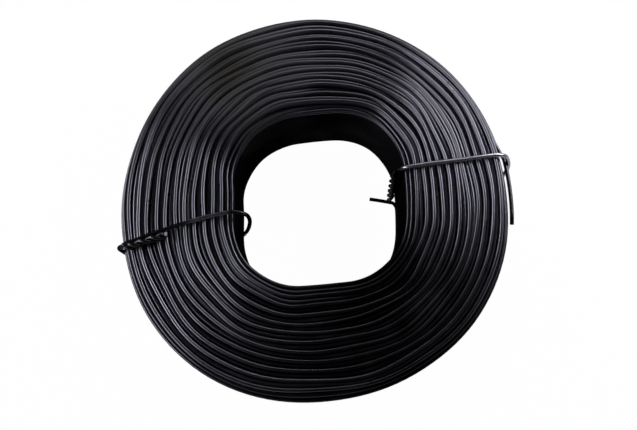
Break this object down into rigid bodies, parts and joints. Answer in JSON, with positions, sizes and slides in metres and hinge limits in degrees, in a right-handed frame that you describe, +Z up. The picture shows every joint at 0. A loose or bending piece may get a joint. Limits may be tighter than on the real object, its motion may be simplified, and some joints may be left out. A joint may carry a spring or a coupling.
{
  "type": "coil of binding wire",
  "caption": "Flat coil of black annealed binding wire with a rounded-square bore, held by twisted wire ties.",
  "frame": {"origin": "on the floor under the coil's axis, at the bottom centre of the part", "axes": "+Z up along the coil's axis, +X towards the right tie and the free outer end, -Y towards the picture's near side"},
  "size_m": [0.1156, 0.1144, 0.0369],
  "materials": {
    "annealed_wire": "black annealed, satin, with brown and grey oxide tints",
    "tie_wire": "black annealed, satin, bright where it was cut"
  },
  "bodies": {
    "root": {"wire_coil": "annealed_wire", "tie_wire_left": "tie_wire", "tie_wire_right": "tie_wire"}
  },
  "joints": []
}
